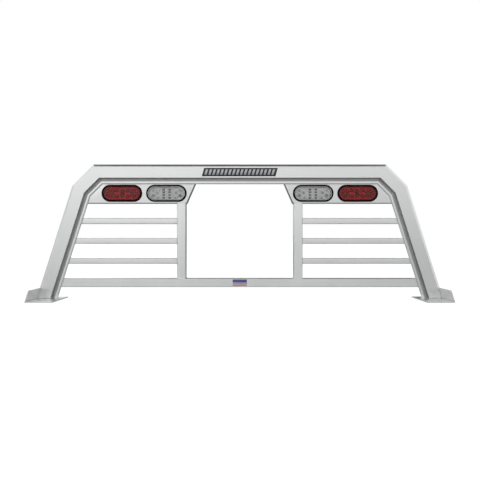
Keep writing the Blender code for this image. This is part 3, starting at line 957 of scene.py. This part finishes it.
def oval_body(form, centre, straight, radius, front, back, pitch):
    """Adds a closed oval slab. front and back give depth from (x, z, distance in from the edge)."""
    ends = round(radius * math.pi / 2 / pitch)
    middle = max(1, round(2 * straight / pitch))
    columns = []
    for index in range(ends):
        angle = math.pi / 2 * (1 - index / ends)
        columns.append((-straight - radius * math.sin(angle), radius * math.cos(angle)))
    columns += [(-straight + 2 * straight * index / middle, radius) for index in range(middle + 1)]
    columns += [(-x, height) for x, height in reversed(columns[:ends])]
    rows = 2 * round(radius / pitch * 1.2)
    sheets = []
    for depth in (front, back):
        sheet = []
        for x, height in columns:
            line = []
            for row in range(rows + 1):
                share = 2 * row / rows - 1
                share = 0.55 * share + 0.45 * math.sin(math.pi / 2 * share)
                z = share * height
                reach = math.hypot(max(0.0, abs(x) - straight), z)
                inset = max(0.0, radius - reach)
                line.append(form.verts.new((centre.x + x, centre.y + depth(x, z, inset), centre.z + z)))
            sheet.append(line)
        sheets.append(sheet)
    for sheet in sheets:
        for before, after in zip(sheet, sheet[1:]):
            for row in range(rows):
                form.faces.new((before[row], before[row + 1], after[row + 1], after[row]))
    fronts, backs = sheets
    for index in range(len(columns) - 1):
        for row in (0, rows):
            corners = (fronts[index], fronts[index + 1], backs[index + 1], backs[index])
            form.faces.new([corner[row] for corner in corners])
    close_up(form)


def build_lens(use, side):
    """A crowned cap with a rounded shoulder, moulded pillows inside, and a rim back into the grommet."""
    node = f"{use}_lamp_lens_{side}"
    low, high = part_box(node)
    centre, straight, radius = lamp_frame(use, side)
    proud = low.y - centre.y
    rim_back = high.y - centre.y
    optic_radius = radius - LENS_THICK

    def crown(inset):
        return LENS_CROWN * (1 - min(1.0, inset / radius)) ** 2

    def front(x, z, inset):
        drop = max(0.0, LENS_SHOULDER - inset)
        shoulder = LENS_SHOULDER - math.sqrt(max(0.0, LENS_SHOULDER**2 - drop**2))
        return proud + crown(inset) + shoulder

    def back(x, z, inset):
        wave = math.cos(2 * math.pi * x / PILLOW_PITCH) * math.cos(2 * math.pi * z / PILLOW_PITCH)
        fade = min(1.0, inset / (3 * MM))
        return proud + crown(inset) + LENS_THICK + PILLOW_DEPTH * wave * fade

    form = bmesh.new()
    oval_body(form, centre, straight, radius, front, back, LENS_PITCH)
    tint = "red" if use == "stop" else "clear"
    form_piece(node + "_fine", form, tint + "_lens", node, 60)
    skirt = bmesh.new()
    start = proud + LENS_CROWN + LENS_SHOULDER
    corners = [
        (radius, start, 0),
        (radius, rim_back, 0.4 * MM),
        (optic_radius, rim_back, 0.4 * MM),
        (optic_radius, start, 0),
    ]
    turned_oval(skirt, centre, straight, rounded(corners))
    form_piece(node + "_rim", skirt, tint + "_rim", angle=60)


def build_grommet(use, side):
    """A rubber ring that grips the panel's sheet in a groove and holds the lens in its bore."""
    node = f"{use}_lamp_grommet_{side}"
    low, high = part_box(node)
    centre, straight, lens_radius = lamp_frame(use, side)
    outer = (high.z - low.z) / 2
    proud = low.y - centre.y
    back = high.y - centre.y
    groove = outer - GROMMET_LIP
    bore = lens_radius + FIT
    corners = [
        (groove, -FIT, 0),
        (outer, -FIT, 0.6 * MM),
        (outer, proud, 1.6 * MM),
        (bore + 0.7 * MM, proud, 0.6 * MM),
        (bore, proud + 0.9 * MM, 0.3 * MM),
        (bore, back - 3 * MM, 0),
        (bore - 2 * MM, back - 3 * MM, 0.3 * MM),
        (bore - 2 * MM, back, 0.5 * MM),
        (outer - GROMMET_STEP, back, 1.2 * MM),
        (outer - GROMMET_STEP, SHEET + FIT, 0.6 * MM),
        (groove, SHEET + FIT, 0),
    ]
    form = bmesh.new()
    turned_oval(form, centre, straight, rounded(corners))
    form_piece(node + "_fine", form, "rubber", node, 50)


def add_cylinder(form, centre, radius, depth_from, depth_to, segments=24, radius_to=None):
    """A round post along Y between two depths."""
    middle = (depth_from + depth_to) / 2
    made = bmesh.ops.create_cone(
        form,
        cap_ends=True,
        segments=segments,
        radius1=radius,
        radius2=radius if radius_to is None else radius_to,
        depth=abs(depth_to - depth_from),
    )["verts"]
    turn = Matrix.Rotation(-math.pi / 2, 4, "X")
    bmesh.ops.transform(form, matrix=turn, verts=made)
    bmesh.ops.translate(form, verts=made, vec=(centre.x, centre.y + middle, centre.z))


def build_housing(use, side):
    """A black cup with a flange, a white liner, ribs across its back, and a connector with three pins."""
    node = f"{use}_lamp_housing_{side}"
    low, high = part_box(node)
    centre, straight, lens_radius = lamp_frame(use, side)
    flange_front = low.y - centre.y
    cup = lens_radius - 2.3 * MM
    inner = cup - 2 * MM
    corners = [
        (inner, flange_front, 0.3 * MM),
        (lens_radius, flange_front, 0.3 * MM),
        (lens_radius, flange_front + SHEET, 0.5 * MM),
        (cup, flange_front + SHEET, 0.5 * MM),
        (cup, CUP_BACK, 2.5 * MM),
        (0, CUP_BACK, 0),
        (0, CUP_BACK - 2 * MM, 0),
        (inner - 2 * MM, CUP_BACK - 2 * MM, 1 * MM),
        (inner - 2 * MM, BOARD_SEAT, 0),
        (inner, BOARD_SEAT, 0),
    ]
    form = bmesh.new()
    turned_oval(form, centre, straight, rounded(corners))
    back = centre + Vector((0, CUP_BACK, 0))
    start = -0.5 * MM
    across, up = BLOCK_HALF
    add_box(form, back + Vector((-across, start, -up)), back + Vector((across, BLOCK_LENGTH, up)), 1.2 * MM)
    up = cup * 0.72
    for index in (-3, -2, -1, 1, 2, 3):
        place = back + Vector((index * RIB_PITCH, 0, 0))
        low_corner = place + Vector((-RIB_HALF, start, -up))
        add_box(form, low_corner, place + Vector((RIB_HALF, RIB_HEIGHT, up)), 0.4 * MM)
    shell = form_piece(node + "_fine", form, "housing", node, 50)
    shell.data.materials.append(MATERIALS["liner"])
    for face in shell.data.polygons:
        reach = max(abs(face.center.x - centre.x) - straight, 0.0)
        is_inside = math.hypot(reach, face.center.z - centre.z) < inner + 0.5 * MM
        if is_inside and face.center.y < centre.y + 14 * MM:
            face.material_index = 1
    pins = bmesh.new()
    for index in (-1, 0, 1):
        place = centre + Vector((index * PIN_PITCH, 0, 0))
        start = CUP_BACK + BLOCK_LENGTH - 1 * MM
        end = high.y - centre.y
        add_cylinder(pins, place, PIN_RADIUS, start, end - 1 * MM)
        add_cylinder(pins, place, PIN_RADIUS, end - 1 * MM, end, radius_to=1.1 * MM)
    form_piece(node + "_pins", pins, "solder", angle=30)


def add_arc(form, centre, inner, outer, depth, height, first, last, steps=10):
    """Part of a flat ring that stands off the board."""
    rings = []
    for step in range(steps + 1):
        angle = math.radians(first + (last - first) * step / steps)
        ring = []
        for radius, y in ((inner, depth), (outer, depth), (outer, depth - height), (inner, depth - height)):
            x = centre.x + math.cos(angle) * radius
            z = centre.z + math.sin(angle) * radius
            ring.append(form.verts.new((x, centre.y + y, z)))
        rings.append(ring)
    skin(form, rings)
    if abs(last - first) < 360:
        cap(form, rings)


def build_board(use, side):
    """The board and what is soldered to it. Depths on it are measured back from the panel's front."""
    node = f"{use}_lamp_board_{side}"
    low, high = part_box(node)
    centre, straight, _ = lamp_frame(use, side)
    radius = (high.z - low.z) / 2
    back = high.y - centre.y
    face = back - BOARD_THICK
    form = bmesh.new()
    profile = rounded([(0, face, 0), (radius, face, 0.2 * MM), (radius, back, 0.2 * MM), (0, back, 0)])
    turned_oval(form, centre, straight, profile)
    form_piece(node + "_fine", form, "board_" + use, node)
    frames, glows, darks, joints, domes, beads = (bmesh.new() for _ in range(6))
    for x, z, size in lamp_domes(use):
        place = centre + Vector((x, 0, z))
        target = domes if size > BIG_DOME or use == "stop" else beads
        wall = face - DOME_WALL
        add_cylinder(target, place, size, face, wall)
        add_cylinder(target, place, size, wall, face - DOME_HEIGHT, radius_to=size * 0.55)
    for x, z in lamp_chips(use):
        place = centre + Vector((x, 0, z))
        foot = centre + Vector((x, face, z))
        is_shaded = use == "reverse" and abs(x) < MIDDLE_COLUMNS
        half = (CHIP_SIZE if use == "stop" or is_shaded else WIDE_CHIP_SIZE) / 2
        add_box(frames, foot - Vector((half, CHIP_HEIGHT, half)), foot + Vector((half, 0, half)), 0.25 * MM)
        glow = half * (0.2 if is_shaded else 0.82)
        add_cylinder(glows, place, glow, face - 1.0 * MM, face - 1.7 * MM, 20, glow * 0.7)
        for sign in (-1, 1):
            joint = foot + Vector((sign * half * 1.15, 0, 0))
            low_corner = joint - Vector((JOINT_HALF, JOINT_HEIGHT, half * 0.6))
            add_box(joints, low_corner, joint + Vector((JOINT_HALF, 0, half * 0.6)), 0.1 * MM)
    # Near-black rings round the chips: painted shade for their cups.
    for x, z, inner, outer, first, last in lamp_hoods(use):
        add_arc(darks, centre + Vector((x, 0, z)), inner, outer, face, HOOD_HEIGHT, first, last)
    close_up(darks)
    form_piece(node + "_chips", frames, "chip_frame")
    lit = "chip_glow" if use == "reverse" else "chip_red"
    form_piece(node + "_phosphor", glows, lit)
    form_piece(node + "_hoods", darks, "hood_painted_shade")
    form_piece(node + "_solder", joints, "solder")
    form_piece(node + "_domes", domes, "chip_violet", angle=50)
    if beads.verts:
        form_piece(node + "_beads", beads, "chip_grey", angle=50)


def lamp_chips(use):
    """The light-emitting chips' places from the lamp's centre."""
    quadrants = {
        "stop": [(0, 7.5), (23, 13), (52, 0)],
        "reverse": [(13, 6.2), (13, 18), (31, 12), (49, 12)],
    }
    places = set()
    for x, z in quadrants[use]:
        for sign_x in (-1, 1):
            for sign_z in (-1, 1):
                places.add((sign_x * x * MM, sign_z * z * MM))
    return sorted(places)


def lamp_domes(use):
    """The larger round components' places and radii."""
    if use == "stop":
        return [(sign * 34 * MM, z * MM, 4.2 * MM) for sign in (-1, 1) for z in (-14, 12)]
    domes = []
    for sign in (-1, 1):
        domes += [(sign * 59 * MM, -9 * MM, 7.0 * MM), (sign * 41 * MM, 3 * MM, 6.0 * MM)]
        domes += [(sign * 60 * MM, 13 * MM, 4.6 * MM), (sign * 38 * MM, -19 * MM, 4.6 * MM)]
    return domes


def lamp_hoods(use):
    """The near-black rings and spokes round the chips, painted shade for their reflector cups: (x, z, inner
    radius, outer radius, first angle, last angle).
    """
    hoods = []
    for x, z in lamp_chips(use):
        if use == "reverse":
            if abs(x) < MIDDLE_COLUMNS:
                hoods.append((x, z, 0.6 * MM, 5.6 * MM, 130, 410))
        elif abs(x) < 10 * MM:
            hoods.append((x, z, 3.2 * MM, 9.4 * MM, 0, 360))
        elif abs(x) < 30 * MM:
            hoods.append((x, z, 3.4 * MM, 8.0 * MM, 0, 360))
        else:
            for first in range(15, 360, 45):
                hoods.append((x, z, 4 * MM, 19 * MM, first, first + 24))
    return hoods


def build_lamps():
    for use in ("stop", "reverse"):
        for side in SIDES:
            build_lens(use, side)
            build_grommet(use, side)
            build_housing(use, side)
            build_board(use, side)


# ------------ badge and decal


def slanted(form, centre, wide, high, lean, y_front, y_back, edge):
    """A slab whose outline leans to the right, as a parallelogram."""
    corners = []
    for right, top in ((-1, -1), (1, -1), (1, 1), (-1, 1)):
        x = right * wide / 2
        z = top * high / 2
        corners.append((centre.x + x + lean * z / high, centre.z + z))
    fronts = [form.verts.new((x, y_front, z)) for x, z in corners]
    backs = [form.verts.new((x, y_back, z)) for x, z in corners]
    made = [form.faces.new(fronts), form.faces.new(list(reversed(backs)))]
    for index in range(4):
        following = (index + 1) % 4
        made.append(form.faces.new((fronts[following], fronts[index], backs[index], backs[following])))
    edges = {item for face in made for item in face.edges}
    if edge:
        bevel(form, edges, edge, 2)


def build_badge():
    """A dark plate with a row of plain slanted bars."""
    low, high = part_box("name_badge")
    centre = (low + high) / 2
    plate = bmesh.new()
    wide = high.x - low.x - BADGE_LEAN
    front = low.y + 0.5 * MM
    slanted(plate, centre, wide, high.z - low.z, BADGE_LEAN, front, high.y, 0.3 * MM)
    bmesh.ops.recalc_face_normals(plate, faces=plate.faces)
    form_piece("badge_plate", plate, "badge", "name_badge", 30)
    bars = bmesh.new()
    room = wide - BADGE_MARGIN
    bar = room / BADGE_BARS * 0.56
    back = low.y + BADGE_BAR_THICK
    for index in range(BADGE_BARS):
        x = centre.x + room * ((index + 0.5) / BADGE_BARS - 0.5)
        place = Vector((x, 0, centre.z))
        slanted(bars, place, bar, BADGE_BAR_HEIGHT, BADGE_BAR_LEAN, low.y, back, 0.2 * MM)
    bmesh.ops.recalc_face_normals(bars, faces=bars.faces)
    form_piece("badge_bars", bars, "badge_bars", angle=30)


def build_decal():
    low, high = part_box("stripe_decal")
    form = bmesh.new()
    add_box(form, low, high, 0.15 * MM)
    form_piece("decal", form, "decal", "stripe_decal", 30)


build_camera()
build_floor()
build_world()
build_light()
build_frame()
build_tubes()
build_panels()
build_feet()
build_frame_welds()
build_tube_welds()
build_foot_welds()
build_panel_welds()
build_lamps()
build_badge()
build_decal()
